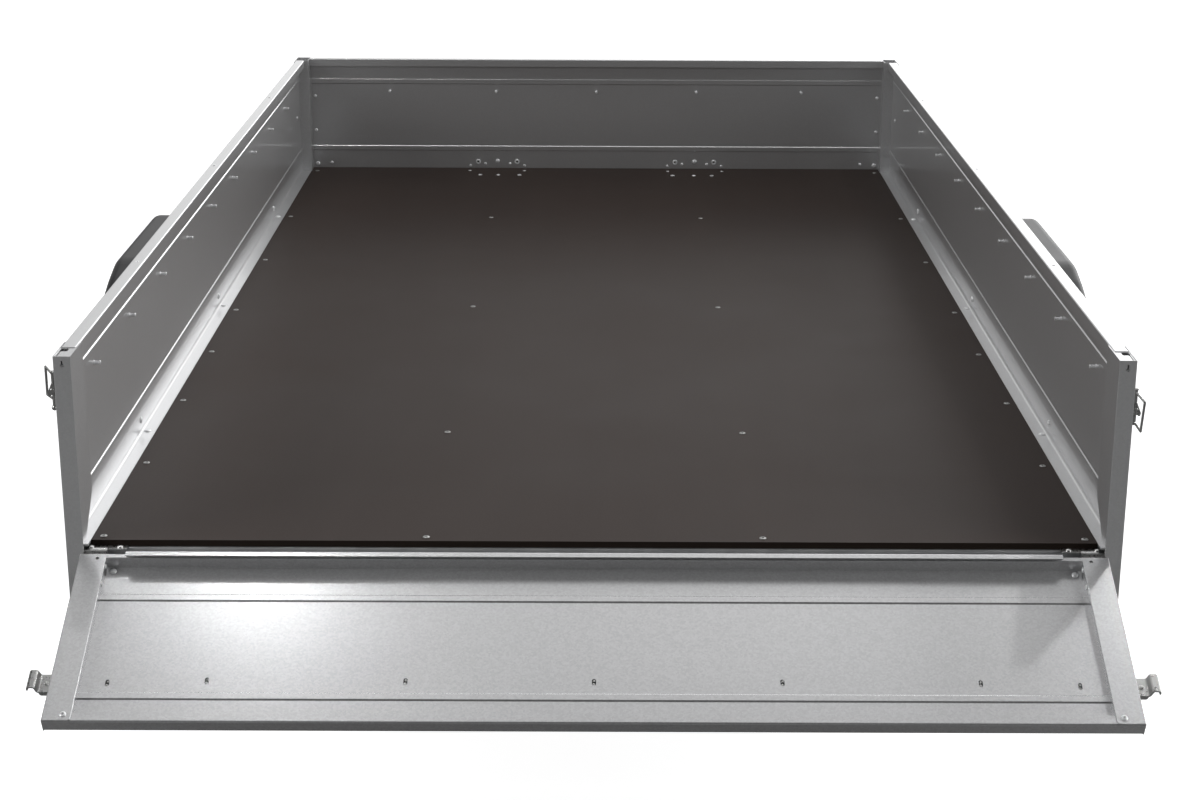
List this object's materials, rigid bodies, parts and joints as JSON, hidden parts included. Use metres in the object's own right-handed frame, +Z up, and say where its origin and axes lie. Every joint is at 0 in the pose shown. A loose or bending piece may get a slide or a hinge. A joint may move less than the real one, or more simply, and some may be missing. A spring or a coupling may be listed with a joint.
{
  "type": "single-axle utility trailer",
  "caption": "Flat-bed utility trailer with a galvanised sheet-steel box, dark plywood floor, drop tailgate, V drawbar, plastic mudguards and a jockey wheel.",
  "frame": {"origin": "on the ground, at the middle of the trailer's overall width and length, tailgate open as drawn", "axes": "+Y is the direction of travel, along the drawbar; +Z is up; X is across"},
  "size_m": [2.27, 4.9039, 0.85],
  "materials": {
    "galvanised_sheet": "galvanised, satin, fine spangle",
    "galvanised_post": "galvanised, satin",
    "galvanised_gate": "galvanised, satin, visible spangle",
    "hot_dip_steel": "hot-dip galvanised, dull",
    "zinc_plated": "bright zinc plated",
    "film_faced_plywood": "phenolic film, fine non-slip mesh",
    "tyre_rubber": "rubber",
    "jockey_rubber": "solid rubber",
    "rim_silver": "silver lacquer",
    "black_plastic": "moulded, satin grain",
    "red_lens": "clear coloured moulding",
    "amber_reflector": "reflector",
    "white_lens": "clear coloured moulding",
    "plate_blank": "blank plate"
  },
  "bodies": {
    "chassis": {"left_side_wall": "galvanised_sheet", "right_side_wall": "galvanised_sheet", "front_wall": "galvanised_sheet", "left_rear_post": "galvanised_post", "right_rear_post": "galvanised_post", "front_posts": "galvanised_post", "left_side_sill": "hot_dip_steel", "right_side_sill": "hot_dip_steel", "crossmembers": "hot_dip_steel", "rear_crossmember": "hot_dip_steel", "front_crossmember": "hot_dip_steel", "left_drawbar_arm": "hot_dip_steel", "right_drawbar_arm": "hot_dip_steel", "drawbar_brackets": "hot_dip_steel", "drawbar_plate": "hot_dip_steel", "axle_beam": "hot_dip_steel", "axle_brackets": "hot_dip_steel", "swing_arms": "hot_dip_steel", "mudguard_brackets": "hot_dip_steel", "rear_light_bar": "hot_dip_steel", "tailgate_hinges": "zinc_plated", "tailgate_latches": "zinc_plated", "coupling_head": "zinc_plated", "jockey_clamp": "zinc_plated", "jockey_outer_tube": "zinc_plated", "floor_panel": "film_faced_plywood", "left_mudguard": "black_plastic", "right_mudguard": "black_plastic", "coupling_handle": "black_plastic", "jockey_crank": "black_plastic", "rear_lamps": "black_plastic", "rear_lamp_lenses": "red_lens", "side_reflectors": "amber_reflector", "front_markers": "white_lens", "number_plate": "plate_blank"},
    "tailgate": {"tailgate": "galvanised_gate", "tailgate_side_rails": "galvanised_gate", "tailgate_hooks": "zinc_plated"},
    "left_wheel": {"left_tyre": "tyre_rubber", "left_rim": "rim_silver", "left_hub": "zinc_plated"},
    "right_wheel": {"right_tyre": "tyre_rubber", "right_rim": "rim_silver", "right_hub": "zinc_plated"},
    "jockey_leg": {"jockey_inner_tube": "zinc_plated"},
    "jockey_swivel_fork": {"jockey_fork": "zinc_plated"},
    "jockey_wheel": {"jockey_rim": "rim_silver", "jockey_tyre": "jockey_rubber"}
  },
  "joints": [
    {"name": "tailgate_hinge", "type": "hinge", "parent": "chassis", "child": "tailgate", "pos_m": [0, -2.1082, 0.47807], "axis": [-1, 0, 0], "range_deg": [0, 115]},
    {"name": "left_wheel_spin", "type": "hinge", "parent": "chassis", "child": "left_wheel", "pos_m": [-1.045, -0.47175, 0.298], "axis": [-1, 0, 0], "continuous": true},
    {"name": "right_wheel_spin", "type": "hinge", "parent": "chassis", "child": "right_wheel", "pos_m": [1.045, -0.47175, 0.298], "axis": [-1, 0, 0], "continuous": true},
    {"name": "jockey_lift", "type": "slide", "parent": "chassis", "child": "jockey_leg", "axis": [0, 0, 1], "range_m": [0, 0.1]},
    {"name": "jockey_swivel", "type": "hinge", "parent": "jockey_leg", "child": "jockey_swivel_fork", "pos_m": [0, 2.04125, 0.224], "axis": [0, 0, 1], "continuous": true},
    {"name": "jockey_spin", "type": "hinge", "parent": "jockey_swivel_fork", "child": "jockey_wheel", "pos_m": [0, 1.99625, 0.1], "axis": [-1, 0, 0], "continuous": true}
  ]
}
